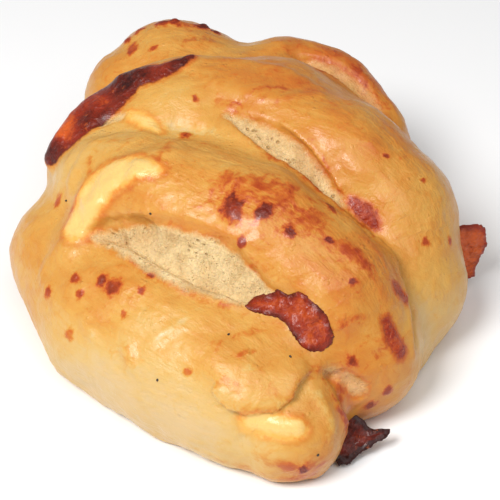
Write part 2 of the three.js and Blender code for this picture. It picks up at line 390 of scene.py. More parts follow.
class Clay:
    """A mesh while it is shaped: points and normals in millimetres, moves still to make, masks."""

    def __init__(self, obj):
        self.obj = obj
        self.masks = {}
        self.read()

    def read(self):
        self.points = read_vectors(self.obj, "co") / MM
        self.normals = read_vectors(self.obj, "normal")
        self.moves = np.zeros_like(self.points)
        self.tree = BVHTree.FromObject(self.obj, bpy.context.evaluated_depsgraph_get())

    def settle(self):
        """Makes the moves gathered so far, and reads the new surface."""
        self.points += self.moves
        write_points(self.obj, self.points)
        bpy.context.view_layer.update()
        self.read()

    def lay(self, places):
        return np.array([self.spot(place) for place in places])

    def spot(self, place):
        """A place on the surface: below an (x, y), behind an (x, None, z), or nearest to three numbers."""
        if len(place) == 2:
            hit = self.tree.ray_cast(Vector((*place, CLEAR)) * MM, Vector((0, 0, -1)))[0]
        elif place[1] is None:
            hit = self.tree.ray_cast(Vector((place[0], -CLEAR, place[2])) * MM, Vector((0, 1, 0)))[0]
        else:
            hit = self.tree.find_nearest(Vector(place) * MM)[0]
        if hit is None:
            raise RuntimeError(f"no crust at {place}")
        return np.array(hit) / MM

    def path(self, places):
        """A soft line on the surface through given places."""
        return self.lay(rounded(self.lay(places)))

    def facing(self, points):
        """The mean direction that the surface faces at these places."""
        normals = [self.tree.find_nearest(Vector(p) * MM)[1] for p in points]
        return sum(normals, Vector()).normalized()

    def near(self, points, reach):
        """Which vertices are within reach of the box around these places."""
        low = points.min(axis=0) - reach
        high = points.max(axis=0) + reach
        return np.nonzero(np.all((self.points > low) & (self.points < high), axis=1))[0]

    def raise_by(self, near, height):
        self.moves[near] += self.normals[near] * height[:, None]

    def mask(self, name, fallback=-FAR):
        """The mask of that name, which starts at the fallback everywhere."""
        if name not in self.masks:
            self.masks[name] = np.full(len(self.points), fallback, float)
        return self.masks[name]

    def plane(self, outline):
        """An outline's centre and the two axes and normal of the plane that it faces."""
        centre = outline.mean(axis=0)
        normal = np.array(self.facing(outline))
        across = np.cross(normal, (0, 1, 0))
        across /= np.linalg.norm(across)
        return centre, np.array([across, np.cross(normal, across), normal])

    def trail(self, stations):
        """The vertices near a path that has half-widths, and how far inside it each one is."""
        places = self.lay([station[:-1] for station in stations])
        soft = rounded(np.column_stack([places, [station[-1] for station in stations]]))
        line, half = self.lay(soft[:, :3]), soft[:, 3]
        near = self.near(line, half.max() + FAR)
        gap, along, _, _ = follow(self.points[near], line)
        travelled = np.concatenate([[0], np.cumsum(np.linalg.norm(np.diff(line, axis=0), axis=1))])
        return near, np.interp(along, travelled / travelled[-1], half) - gap

    def write_masks(self):
        mesh = self.obj.data
        for name, values in self.masks.items():
            kind = "FLOAT_VECTOR" if values.ndim == 2 else "FLOAT"
            field = "vector" if values.ndim == 2 else "value"
            attribute = mesh.attributes.new(name, kind, "POINT")
            attribute.data.foreach_set(field, values.astype(np.float32).ravel())


def carve_crease(clay, places, rise, depth, ramp, overhang, lip):
    """A sharp lip along a line, standing over a groove that runs out gently on the line's left."""
    line = clay.path(places)
    reach = max(ramp, lip) * 3
    near = clay.near(line, reach)
    gap, along, foot, way = follow(clay.points[near], line)
    normal = clay.normals[near]
    across = np.cross(normal, way)
    across /= np.maximum(np.linalg.norm(across, axis=1), 1e-6)[:, None]
    side = np.sum(across * (clay.points[near] - foot), axis=1)
    fade = ends(along, 0, 0.12) * ease(gap, reach, reach * 0.7)
    height = np.where(side < 0, rise * bump(gap, lip), -depth * np.exp(-gap / ramp))
    lean = np.where(side < 0, overhang * ease(gap, 1.5, 0), 0)
    clay.raise_by(near, height * fade)
    clay.moves[near] += across * (lean * fade)[:, None]
    clay.mask("toast", 0)[near] += np.where(side < 0, 0.5, 0.1) * bump(gap, 1.0) * fade


def draw_strokes(clay):
    """Streaks, folds, furrows and pale cracks along the crust."""
    for places, width, height, browner in STROKES:
        line = clay.path(places)
        near = clay.near(line, width * 3)
        gap, along, _, _ = follow(clay.points[near], line)
        clay.raise_by(near, height * bump(gap, width) * ends(along, 0, 0.2))
        clay.mask("toast", 0)[near] += browner * bump(gap, width * 1.1)


def paint_baked(clay):
    """How far the crust is baked: a smooth blend of the listed places."""
    levels = [(clay.spot(place), baked) for place, baked in BAKED]
    clay.mask("baked")[:] = spread(clay.points, levels, 30)


def paint_grain(clay):
    """Each point's place along and around the nearest strand, which the crust's streaks follow."""
    best = np.full(len(clay.points), np.inf)
    second = best.copy()
    grain = np.zeros((len(clay.points), 3))
    steady = np.zeros(len(clay.points))
    for number, strand in enumerate(STRANDS):
        line = np.array(strand, float)
        radius = line[:, 3].mean()
        gap, along, foot, way = follow(clay.points, rounded(line[:, :3]))
        height = gap - radius
        closer = height < best
        second = np.where(closer, best, np.minimum(second, height))
        best = np.where(closer, height, best)
        offset = clay.points - foot
        length = np.linalg.norm(np.diff(line[:, :3], axis=0), axis=1).sum()
        side = np.cross(way, (0, 0, 1))
        turn = np.arctan2(np.sum(offset * side, axis=1), offset[:, 2]) * radius
        place = np.stack([along * length, turn, np.full(len(gap), number * 37.0)], axis=1)
        grain[closer] = place[closer]
        steady = np.where(closer, ends(along, 0.02, 0.16), steady)
    clay.masks["grain"] = grain * MM
    clay.masks["steady"] = ease(second - best, 0.3, 4) * steady


def lay_skins(clay):
    """Raises each skin of dough by its thickness, with a crisp edge."""
    for thickness, trail in SKINS:
        near, depth = clay.trail(trail)
        torn = depth + 0.5 * ripple(clay.points[near], 3, 3, seed=17)
        clay.raise_by(near, thickness * (ease(torn, -0.3, 0.7) - 0.4 * ease(torn, 0.5, 5)))


def shape_crumb(clay):
    """The torn crumb in the slashes: sunk below the crust, with pits where bubbles opened."""
    crumb = clay.mask("crumb")
    torn_share = clay.mask("torn", 0)
    for strength, trail in CRUMB:
        near, depth = clay.trail(trail)
        torn_share[near] = np.where(depth > crumb[near], strength, torn_share[near])
        crumb[near] = np.maximum(crumb[near], depth)
        clay.raise_by(near, -0.6 * ease(depth, -0.3, 1.2) + 0.25 * bump(depth + 0.7, 0.7))
    torn = np.nonzero(crumb > -0.2)[0]
    rough = ripple(clay.points[torn], 2.6, 3, seed=3)
    pits = np.abs(ripple(clay.points[torn], 1.9, 2, seed=9))
    clay.raise_by(torn, (0.55 * rough - 0.7 * pits) * ease(crumb[torn], 0, 1.2))
    for place, radius, sink in CRUMB_PORES:
        centre = clay.spot(place)
        near = clay.near(centre[None], radius * 3)
        gap = np.linalg.norm(clay.points[near] - centre, axis=1)
        clay.raise_by(near, -sink * bump(gap, radius) + 0.2 * sink * bump(gap - radius * 1.5, radius * 0.4))


def shape_cheese(clay):
    """Melted cheese that ran over the crust: a soft swollen pool with folds, fused at its rim."""
    cheese = clay.mask("cheese")
    for rise, fold, trail in CHEESE:
        near, depth = clay.trail(trail)
        cheese[near] = np.maximum(cheese[near], depth)
        folds = ripple(clay.points[near] * (1, 0.55, 1), 3.6, 2, seed=21)
        clay.raise_by(near, rise * ease(depth, -0.6, 1.5) + fold * folds * ease(depth, 0, 1.5))


def shape_burnt(clay):
    """Burnt cheese that is fused with the crust: its trails, and the lumps of the long ridge."""
    burnt = clay.mask("burnt")
    char = clay.mask("char", 0)
    for rise, trail in BURNT:
        near, depth = clay.trail(trail)
        owns = depth > burnt[near]
        burnt[near] = np.where(owns, depth, burnt[near])
        char[near] = np.where(owns, 0.4, char[near])
        clay.raise_by(near, rise * ease(depth, -0.5, 1.6))
    ridge = np.nonzero((burnt > -1.5) & (clay.points[:, 0] < RIDGE_END))[0]
    points = clay.points[ridge]
    levels = []
    for place, radius, height, charred in RIDGE_LUMPS:
        centre = clay.spot(place)
        lump = height * bump(np.linalg.norm(points - centre, axis=1), radius * 0.8)
        clay.raise_by(ridge, lump * ease(burnt[ridge], -0.8, 0.6))
        levels.append((centre, charred))
    char[ridge] = spread(points, levels, 4)
    clay.raise_by(ridge, 0.35 * ripple(points, 2.6, 3, seed=13) * ease(burnt[ridge], 0, 1))


def raise_blisters(clay):
    """Browned blisters, each stretched its own way and ragged."""
    spot = clay.mask("spot", 0)
    spot_char = clay.mask("spot_char", 0)
    for number, (place, radius, height, darkness) in enumerate(BLISTERS):
        centre = clay.spot(place)
        near = clay.near(centre[None], radius * 3)
        away = clay.points[near] - centre
        angle = number * 1.9
        across = away[:, 0] * math.cos(angle) + away[:, 1] * math.sin(angle)
        uneven = 1 + 0.4 * ripple(clay.points[near], radius * 1.3, 2, seed=number + 50)
        gap = np.sqrt(np.sum(away ** 2, axis=1) + 0.9 * across ** 2) * uneven
        here = bump(gap, radius * 1.2)
        owns = here > spot[near]
        spot[near] = np.where(owns, here, spot[near])
        spot_char[near] = np.where(owns, darkness, spot_char[near])
        clay.raise_by(near, height * bump(gap, radius * 0.85))


def shape_foot(clay):
    """The uneven, browner rim along the dough's foot."""
    low = np.nonzero(clay.points[:, 2] < 5)[0]
    outward = clay.normals[low] * (1, 1, 0)
    uneven = ripple(clay.points[low] * (1, 1, 0.5), 5, 3, seed=7)
    strength = bump(clay.points[low][:, 2] - 1.2, 1.3)
    clay.moves[low] += outward * (uneven * 0.9 * strength)[:, None]
    clay.mask("toast", 0)[low] += 0.45 * bump(clay.points[low][:, 2] - 0.5, 1.2)


# ---------------------------------------------------------------------------------------------
# Making meshes.

def choose_only(obj):
    bpy.ops.object.select_all(action="DESELECT")
    obj.select_set(True)
    bpy.context.view_layer.objects.active = obj


@contextmanager
def editing(elements="VERT"):
    """Edit mode on the active object, where that kind of element is chosen."""
    bpy.ops.object.mode_set(mode="EDIT")
    bpy.ops.mesh.select_mode(type=elements)
    yield
    bpy.ops.object.mode_set(mode="OBJECT")


def apply_modifier(obj, name, kind, **settings):
    choose_only(obj)
    modifier = obj.modifiers.new(name, kind)
    for key, value in settings.items():
        setattr(modifier, key, value)
    bpy.ops.object.modifier_apply(modifier=modifier.name)


def even_faces(obj, size):
    apply_modifier(obj, "Even faces", "REMESH", mode="VOXEL", voxel_size=size)


def soften(obj, passes):
    apply_modifier(obj, "Soft edges", "SMOOTH", factor=0.5, iterations=passes)


def copy_of_node():
    """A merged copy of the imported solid, as a new object."""
    obj = bpy.data.objects.new("bread_crust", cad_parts[NODE].data.copy())
    bpy.context.scene.collection.objects.link(obj)
    obj.data.materials.clear()
    choose_only(obj)
    with editing():
        bpy.ops.mesh.select_all(action="SELECT")
        bpy.ops.mesh.remove_doubles(threshold=1e-6)
    return obj


def cut_off_sheets(obj):
    """Takes the two burnt sheets off the copy, up to the sharp inner corner where each meets bread."""
    mesh = bmesh.new()
    mesh.from_mesh(obj.data)
    mesh.faces.ensure_lookup_table()
    for face in mesh.faces:
        face.select = False
    for tip in (FRONT_TIP, RIGHT_TIP):
        waiting = [min(mesh.faces, key=lambda face: (face.calc_center_median() - tip).length)]
        while waiting:
            face = waiting.pop()
            face.select = True
            for edge in face.edges:
                if not edge.is_manifold or edge.calc_face_angle_signed() < INNER_CORNER:
                    continue
                waiting.extend(other for other in edge.link_faces if not other.select)
    mesh.to_mesh(obj.data)
    mesh.free()
    choose_only(obj)
    with editing("FACE"):
        bpy.ops.mesh.delete(type="FACE")
        bpy.ops.mesh.select_all(action="SELECT")
        bpy.ops.mesh.fill_holes(sides=0)


def sheet_axes(lean, turn):
    """The axes of a sheet's plane after it leans back about X and then turns about Z."""
    lean, turn = math.radians(lean), math.radians(turn)
    tilt = np.array([[1, 0, 0], [0, math.cos(lean), math.sin(lean)], [0, -math.sin(lean), math.cos(lean)]])
    spin = np.array([[math.cos(turn), math.sin(turn), 0], [-math.sin(turn), math.cos(turn), 0], [0, 0, 1]])
    return tilt @ spin


def flat_piece(name, corners, spacing, ragged, seed):
    """A grid cut to a flat outline with a slightly ragged edge, and how far inside each point is."""
    low, high = corners.min(axis=0) - 1, corners.max(axis=0) + 1
    size = high - low
    bpy.ops.object.select_all(action="DESELECT")
    bpy.ops.mesh.primitive_grid_add(
        x_subdivisions=int(size[0] / spacing), y_subdivisions=int(size[1] / spacing), size=1,
    )
    obj = bpy.context.object
    obj.name = name
    places = (read_vectors(obj, "co")[:, :2] + 0.5) * size + low
    depth = inside(places, corners)
    depth += ragged * ripple(np.column_stack([places, np.zeros(len(places))]), 2.2, 3, seed)
    with editing():
        bpy.ops.mesh.select_all(action="DESELECT")
    obj.data.vertices.foreach_set("select", depth < 0)
    with editing():
        bpy.ops.mesh.delete(type="VERT")
    return obj, places[depth >= 0], depth[depth >= 0]


def finish_sheet(obj, points, corners, origin, axes, thickness, offset, voxel):
    """Bends a flat piece to these points, thickens it, rounds it and paints how far in each point is."""
    write_points(obj, points)
    apply_modifier(obj, "Thickness", "SOLIDIFY", thickness=thickness * MM, offset=offset)
    even_faces(obj, voxel * MM)
    soften(obj, 3)
    piece = Clay(obj)
    piece.masks["edge"] = inside(((piece.points - origin) @ axes.T)[:, :2], corners)
    piece.write_masks()
    return obj


def draped_piece(clay, name, outline, thickness, lift, swell, wrinkle, ragged, seed):
    """A piece laid on the crust: cut to an outline, dropped on the surface, swollen and thickened."""
    laid = clay.lay(rounded(clay.lay(outline), closed=True))
    centre, axes = clay.plane(laid)
    corners = ((laid - centre) @ axes.T)[:, :2]
    obj, places, depth = flat_piece(name, corners, spacing=0.35, ragged=ragged, seed=seed)
    points = []
    for place, height in zip(places, depth):
        start = Vector(centre + place @ axes[:2] + axes[2] * 12) * MM
        hit, normal, _, _ = clay.tree.ray_cast(start, Vector(-axes[2]))
        if hit is None:
            hit, normal, _, _ = clay.tree.find_nearest(start)
        points.append(np.array(hit) / MM + np.array(normal) * (lift + swell * (1 - math.exp(-height / 1.5))))
    points = np.array(points)
    folds = 1 - 2.2 * np.abs(ripple(points * (1, 1, 0.5), 4, 3, seed + 3))
    points += axes[2] * (wrinkle * folds * ease(depth, -0.5, 1.5))[:, None]
    return finish_sheet(obj, points, corners, centre, axes, thickness, offset=-1, voxel=0.25)


def hanging_sheet(name, sheet, thickness, curl, seed):
    """A crisp sheet of burnt cheese that stands out of the bread, buckled and ragged."""
    axes = sheet_axes(sheet["lean"], sheet["turn"])
    origin = np.array(sheet["at"])
    corners = rounded(sheet["outline"], closed=True, times=1)
    obj, places, depth = flat_piece(name, corners, spacing=0.3, ragged=0.35, seed=seed)
    flat = np.column_stack([places, np.zeros(len(places))])
    height = curl * ripple(flat, 5, 2, seed + 1) + 0.35 * ripple(flat, 1.5, 2, seed + 2)
    points = origin + flat @ axes + height[:, None] * axes[2]
    points[:, 2] = np.maximum(points[:, 2], LOWEST_SHEET)
    return finish_sheet(obj, points, corners, origin, axes, thickness, offset=0, voxel=0.22)


def finish_piece(obj, material):
    """Smooth shading, material and body for a finished piece, with the imported solid hidden."""
    choose_only(obj)
    bpy.ops.object.shade_smooth()
    obj.data.materials.clear()
    obj.data.materials.append(bpy.data.materials[material])
    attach(obj, BODY)
    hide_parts(NODE)


# ---------------------------------------------------------------------------------------------
# Shader building blocks.

class Field:
    """What varies over a surface: a number, vector or colour, from which others are worked out."""

    def __init__(self, nodes, socket):
        self.nodes = nodes
        self.socket = socket

    def __add__(self, other):
        return self.nodes.math("ADD", self, other)

    def __sub__(self, other):
        return self.nodes.math("SUBTRACT", self, other)

    def __rsub__(self, other):
        return self.nodes.math("SUBTRACT", other, self)

    def __mul__(self, other):
        return self.nodes.math("MULTIPLY", self, other)

    def band(self, low, high, start=0.0, end=1.0):
        """A smooth step from start to end, as this goes from low to high."""
        limits = {"From Min": low, "From Max": high, "To Min": start, "To Max": end}
        return self.nodes.field(
            "ShaderNodeMapRange", {"Value": self, **limits}, interpolation_type="SMOOTHSTEP")

    def stretch(self, x, y, z):
        return self.nodes.field("ShaderNodeMapping", {"Vector": self, "Scale": (x, y, z)})

    def noise(self, size, detail=2.0, roughness=0.5, distortion=0.0):
        """Smooth noise of 0 to 1 over this place, with patches of about that size in millimetres."""
        return self.nodes.field("ShaderNodeTexNoise", {
            "Vector": self, "Scale": 1 / MM / size, "Detail": detail, "Roughness": roughness,
            "Distortion": distortion})

    def cells(self, size):
        """Distance to the nearest cell's centre, in cells of that size in millimetres."""
        return self.nodes.field("ShaderNodeTexVoronoi", {"Vector": self, "Scale": 1 / MM / size}, "Distance")

    def ramp(self, stops, colours):
        """The colours in turn, each at its stop."""
        made = self.nodes.node("ShaderNodeValToRGB", {0: self})
        elements = made.color_ramp.elements
        while len(elements) < len(stops):
            elements.new(0.5)
        for element, position, colour in zip(elements, stops, colours):
            element.position = position
            element.color = (*colour, 1)
        return Field(self.nodes, made.outputs[0])


class Wiring:
    """Adds nodes to a node tree and links them. Inputs are fields, numbers, vectors or colours."""

    def __init__(self, tree):
        self.tree = tree

    def put(self, socket, value):
        if isinstance(value, Field):
            self.tree.links.new(value.socket, socket)
        else:
            socket.default_value = value

    def node(self, kind, inputs, **settings):
        made = self.tree.nodes.new(kind)
        for key, value in settings.items():
            setattr(made, key, value)
        for key, value in inputs.items():
            self.put(made.inputs[key], value)
        return made

    def field(self, kind, inputs, output=0, **settings):
        """An output of a new node."""
        return Field(self, self.node(kind, inputs, **settings).outputs[output])

    def math(self, operation, first, second, clamp=False):
        return self.field("ShaderNodeMath", {0: first, 1: second}, operation=operation, use_clamp=clamp)

    def mix(self, share, first, second):
        """Two colours mixed."""
        first, second = [(*colour, 1) if isinstance(colour, tuple) else colour for colour in (first, second)]
        return self.field("ShaderNodeMix", {0: share, 6: first, 7: second}, 2, data_type="RGBA")

    def blend(self, share, first, second):
        """Two numbers mixed."""
        return self.field("ShaderNodeMix", {0: share, 2: first, 3: second}, data_type="FLOAT")

    def attribute(self, name, output="Fac"):
        return self.field("ShaderNodeAttribute", {}, output, attribute_name=name)

    def object_place(self):
        return self.field("ShaderNodeTexCoord", {}, "Object")


# What every finish gives, with the kind of each.
FINISH = {"Color": "Color", "Roughness": "Float", "Height": "Float"}


def begin_finish(name, **inputs):
    """A new node group for a finish: its wiring, and its inputs by name."""
    tree = bpy.data.node_groups.new(name, "ShaderNodeTree")
    for side, sockets in (("INPUT", inputs), ("OUTPUT", FINISH)):
        for label, kind in sockets.items():
            tree.interface.new_socket(name=label, in_out=side, socket_type="NodeSocket" + kind)
    nodes = Wiring(tree)
    start = nodes.node("NodeGroupInput", {})
    return nodes, {label: Field(nodes, start.outputs[label]) for label in inputs}


def end_finish(nodes, *values):
    """Links a finish's colour, roughness and height to its group's outputs."""
    nodes.node("NodeGroupOutput", dict(zip(FINISH, values)))


def use_finish(nodes, name, **inputs):
    """A finish group placed in a material: its colour, roughness and height."""
    made = nodes.node("ShaderNodeGroup", inputs, node_tree=bpy.data.node_groups[name])
    return [Field(nodes, made.outputs[label]) for label in FINISH]


def mix_finishes(nodes, share, first, second):
    mixers = (nodes.mix, nodes.blend, nodes.blend)
    return [mixer(share, *pair) for mixer, pair in zip(mixers, zip(first, second))]


def crust_finish(colours):
    """Baked dough: colour by how far it is baked, with streaks, fine pores and tiny blisters."""
    nodes, into = begin_finish("Crust finish", Place="Vector", Grain="Vector", Steady="Float", Baked="Float")
    place, grain, steady = into["Place"], into["Grain"], into["Steady"]
    broad = place.noise(16, 2)
    mottle = place.noise(5, 4, 0.6, 0.6)
    fine = place.noise(1.1, 3, 0.6)
    streaks = grain.stretch(0.16, 1, 1).noise(2.4, 4, 0.62, 0.5) - 0.5
    threads = grain.stretch(0.12, 1, 1).noise(0.8, 2, 0.6) - 0.5
    dimples = grain.stretch(0.5, 1, 1).noise(1.9, 3, 0.6) - 0.5
    specks = place.noise(1.9, 2, 0.6).band(0.66, 0.74)
    baked = (
        into["Baked"] + (broad - 0.5) * 0.32 + (mottle - 0.5) * 0.34 + streaks * (steady * 0.24)
        + threads * (steady * 0.07) + (fine - 0.5) * 0.07 + specks * 0.07
    )
    colour = baked.ramp((0.0, 0.16, 0.34, 0.52, 0.66, 0.8, 1.0), colours)
    patches = place.noise(6, 2).band(0.5, 0.64)
    blisters = place.cells(1.7).band(0.3, 0.1) * patches
    height = (
        streaks * (steady * 0.5) + threads * (steady * 0.2) + fine * 0.4 + blisters * 0.35
        + mottle * 1.3 + broad * 1.2 + dimples * (steady * 0.9)
    )
    end_finish(nodes, colour, place.noise(3, 3) * 0.3 + 0.24, height)


def crumb_finish(pale, shade):
    """Torn crumb: pale and matt, with open bubbles of several sizes and fine fibres, and painted shade inside
    the bubbles.
    """
    nodes, into = begin_finish("Crumb finish", Place="Vector")
    place = into["Place"]
    warp = place.noise(2.2, 3, 0.6)
    soft = place.noise(6, 3, 0.6, 0.4)
    fibres = place.stretch(1, 1, 0.6).noise(0.7, 4, 0.7, 1.2)
    patches = place.noise(3.4, 2).band(0.5, 0.66)
    bubbles = place.cells(1.5).band(0.34, 0.12) * patches
    pinholes = place.cells(0.62).band(0.3, 0.1) * warp.band(0.45, 0.62)
    depth = nodes.math("ADD", bubbles * 0.8, pinholes * 0.45, clamp=True)
    colour = nodes.mix(soft.band(0.3, 0.72), pale, shade)
    colour = nodes.mix((1.0 - fibres) * 0.25, colour, srgb(255, 240, 205))
    # Painted shade: the open bubbles and pinholes are darkened towards brown, as if shade fell inside them.
    colour = nodes.mix(depth * 0.75, colour, srgb(168, 122, 62))
    height = fibres * 1.9 + depth * -2.2 + warp * 2.6 + soft * 1.5
    end_finish(nodes, colour, fibres * 0.15 + 0.68, height)


def burnt_finish(colours):
    """Burnt cheese: dark where it charred, red-brown where it is thin, wrinkled and glossy."""
    nodes, into = begin_finish("Burnt finish", Place="Vector", Char="Float")
    place = into["Place"]
    patches = place.noise(4.5, 4, 0.65, 0.8)
    wrinkles = place.noise(1.7, 4, 0.62, 1.6)
    grains = place.cells(1.4).band(0.5, 0.05)
    level = into["Char"] + (patches - 0.5) * 0.75 + (wrinkles - 0.5) * 0.5
    colour = level.ramp((0.05, 0.25, 0.45, 0.7, 1.0), colours)
    flecks = place.noise(1.6, 3, 0.6).band(0.6, 0.72) * 0.5
    colour = nodes.mix(flecks, colour, srgb(196, 92, 36))
    end_finish(nodes, colour, patches * 0.3 + 0.18, wrinkles + grains * 0.35 + patches * 0.6)


def cheese_finish(core, thin, rim):
    """Melted cheese: pale and smooth in its middle, golden and browned towards its edge."""
    nodes, into = begin_finish("Cheese finish", Place="Vector", Edge="Float")
    place = into["Place"]
    blotches = place.noise(4.2, 3, 0.6, 0.6)
    fine = place.noise(1.0, 3, 0.6)
    inset = into["Edge"] + (blotches - 0.5) * 3.2
    colour = nodes.mix(inset.band(0.1, 1.8), thin, core)
    browned = inset.band(0.9, -0.3) * blotches.band(0.42, 0.55)
    colour = nodes.mix(browned, colour, rim)
    end_finish(nodes, colour, blotches * 0.2 + 0.26, blotches * 1.6 + fine * 0.4)


def principled(nodes, finish, bump_distance, **constants):
    """The surface shader and output of a material, fed by a finish's colour, roughness and height."""
    colour, roughness, height = finish
    relief = nodes.field(
        "ShaderNodeBump", {"Height": height, "Distance": bump_distance * MM, "Strength": 1.0})
    shader = nodes.node(
        "ShaderNodeBsdfPrincipled", {"Base Color": colour, "Roughness": roughness, "Normal": relief})
    for key, value in constants.items():
        shader.inputs[key.replace("_", " ")].default_value = value
    nodes.node("ShaderNodeOutputMaterial", {0: Field(nodes, shader.outputs[0])})
    return shader


def new_material(name):
    material = bpy.data.materials.new(name)
    material.use_nodes = True
    material.node_tree.nodes.clear()
    return material, Wiring(material.node_tree)


def bread_material():
    """Crust, with crumb, melted cheese, burnt cheese and blisters where the masks say."""
    _, nodes = new_material("baked_bread")
    place = nodes.object_place()
    warp = place.noise(2.6, 4, 0.65) - 0.5
    fine_warp = place.noise(1.1, 4, 0.65) - 0.5
    toast = nodes.attribute("toast")
    spot_char = nodes.attribute("spot_char")
    blotches = place.noise(3.6, 3, 0.6, 1.2) + fine_warp * 0.12
    browned = (blotches + toast * 0.42).band(0.56, 0.96)
    pale = (place.noise(2.0, 4, 0.7) + toast * -0.5).band(0.62, 0.95)
    crumb_depth = nodes.attribute("crumb") + warp * 2.6 + fine_warp * 1.2
    burnt_depth = nodes.attribute("burnt") + warp * 1.2 + fine_warp * 1.0
    cheese_depth = nodes.attribute("cheese") + warp * 2.0 + fine_warp * 0.8
    spot = nodes.attribute("spot") + fine_warp * 0.9 + warp * 0.7
    torn_rim = crumb_depth.band(-0.9, -0.1) * crumb_depth.band(0.4, 0.0)
    cheese_rim = cheese_depth.band(-2.2, -0.4) * cheese_depth.band(0.6, -0.2)
    baked = (
        nodes.attribute("baked") + burnt_depth.band(-1.8, 0.1) * 0.3
        + spot.band(0.1, 0.75) * 0.4 + torn_rim * 0.06 + browned * 0.27 + pale * -0.24
        + cheese_rim * 0.16
    )
    finish = use_finish(
        nodes, "Crust finish", Place=place, Grain=nodes.attribute("grain", "Vector"),
        Steady=nodes.attribute("steady"), Baked=baked)
    crumb_share = crumb_depth.band(-0.3, 1.5) * nodes.attribute("torn")
    blister_share = spot.band(0.45, 1.0) * spot_char.band(0.15, 0.7)
    layers = (
        (crumb_share, "Crumb finish", {}),
        (cheese_depth.band(-1.2, 0.9), "Cheese finish", {"Edge": cheese_depth}),
        (blister_share, "Burnt finish", {"Char": spot_char}),
        (burnt_depth.band(-0.4, 0.3), "Burnt finish", {"Char": nodes.attribute("char")}),
    )
    for share, name, inputs in layers:
        finish = mix_finishes(nodes, share, finish, use_finish(nodes, name, Place=place, **inputs))
    shader = principled(
        nodes, finish, bump_distance=0.32, Subsurface_Weight=0.12, Subsurface_Radius=(1.0, 0.45, 0.18),
        Subsurface_Scale=0.0014, Coat_Roughness=0.12, Specular_IOR_Level=0.3)
    glaze = (1.0 - crumb_share) * place.noise(9, 2).band(0.3, 0.7, 0.05, 0.25)
    nodes.put(shader.inputs["Coat Weight"], glaze)


def burnt_material(name, char):
    """Burnt cheese as charred as that, and more so towards its edge."""
    _, nodes = new_material(name)
    level = nodes.attribute("edge").band(0.0, 2.2, 0.42, 0.0) + char
    finish = use_finish(nodes, "Burnt finish", Place=nodes.object_place(), Char=level)
    principled(
        nodes, finish, bump_distance=0.4, Subsurface_Weight=0.06, Subsurface_Radius=(1.0, 0.25, 0.08),
        Subsurface_Scale=0.0012, Coat_Weight=0.15, Coat_Roughness=0.1, Specular_IOR_Level=0.25)


def pepper_material():
    _, nodes = new_material("pepper")
    flecks = nodes.object_place().noise(0.25, 2)
    colour = flecks.ramp((0.3, 0.7), (srgb(22, 18, 18), srgb(70, 54, 44)))
    principled(nodes, (colour, flecks * 0.3 + 0.45, flecks), bump_distance=0.05)


def floor_material(colour):
    """A plain floor, with a shade that barely varies."""
    material, nodes = new_material("floor")
    shade = tuple(channel * 0.985 for channel in colour)
    tint = nodes.mix(nodes.object_place().noise(60, 2), colour, shade)
    principled(nodes, (tint, 0.8, 0.0), bump_distance=0.0)
    return material


# ---------------------------------------------------------------------------------------------
# Settings that a user would change.

def tint(label, description, colour):
    return FloatVectorProperty(
        name=label, description=description, subtype="COLOR", size=3, min=0, max=1, default=srgb(*colour))


class BreadSizes(bpy.types.PropertyGroup):
    """How finely the roll is meshed and how deep its slashes and lips are."""

    grain: FloatProperty(
        name="Mesh grain", description="Face size of the crust", unit="LENGTH", default=0.67 * MM)
    smoothing: IntProperty(
        name="Smoothing", description="Passes that round off the packed solid's facets", default=40)
    lip_rise: FloatProperty(
        name="Lip rise", description="Height of a lip whose rise is 1", unit="LENGTH",
        default=1 * MM)
    groove_depth: FloatProperty(
        name="Groove depth", description="Depth of a crease whose depth is 1", unit="LENGTH",
        default=1 * MM)
    sheet_thickness: FloatProperty(
        name="Burnt sheet", description="Thickness of the crisp burnt sheets", unit="LENGTH",
        default=1.1 * MM)
    pepper_size: FloatProperty(
        name="Pepper grain", description="Width of a pepper grain", unit="LENGTH", default=0.7 * MM)


class BreadColours(bpy.types.PropertyGroup):
    """The finishes' main colours."""

    cream: tint("Unbaked", "Crust that stayed pale", (206, 174, 122))
    straw: tint("Straw", "Lightly baked crust", (206, 168, 100))
    light_gold: tint("Light gold", "Crust in the light", (205, 153, 74))
    gold: tint("Gold", "Well baked crust", (197, 128, 50))
    amber: tint("Amber", "Crust near the burnt cheese", (188, 98, 34))
    russet: tint("Russet", "The most baked crust", (166, 66, 24))
    umber: tint("Umber", "Scorched crust", (104, 32, 14))
    crumb: tint("Crumb", "Torn crumb", (232, 200, 142))
    crumb_shade: tint("Crumb shade", "Deeper crumb", (200, 156, 92))
    cheese: tint("Cheese", "Melted cheese", (226, 187, 112))
    cheese_thin: tint("Thin cheese", "Melted cheese near its edge", (222, 166, 78))
    cheese_rim: tint("Cheese rim", "Browned edge of melted cheese", (218, 124, 38))
    burnt_light: tint("Burnt, light", "Thin burnt cheese", (206, 92, 32))
    burnt: tint("Burnt", "Burnt cheese", (142, 42, 18))
    charred: tint("Charred", "Charred cheese", (50, 11, 7))


class StageSettings(bpy.types.PropertyGroup):
    """The floor, the lights and the camera."""

    floor: tint("Floor", "Colour of the floor", (246, 246, 246))
    key_power: FloatProperty(name="Key light", description="Soft light from the front left", default=4.85)
    fill_power: FloatProperty(name="Fill light", description="Soft light from the right", default=2.5)
    sky: FloatProperty(name="Sky", description="Even light from all round", default=0.24)
    focal_length: FloatProperty(name="Focal length", description="Camera lens", default=110.0)


# ---------------------------------------------------------------------------------------------
# Operators, one for each piece or group of like pieces.

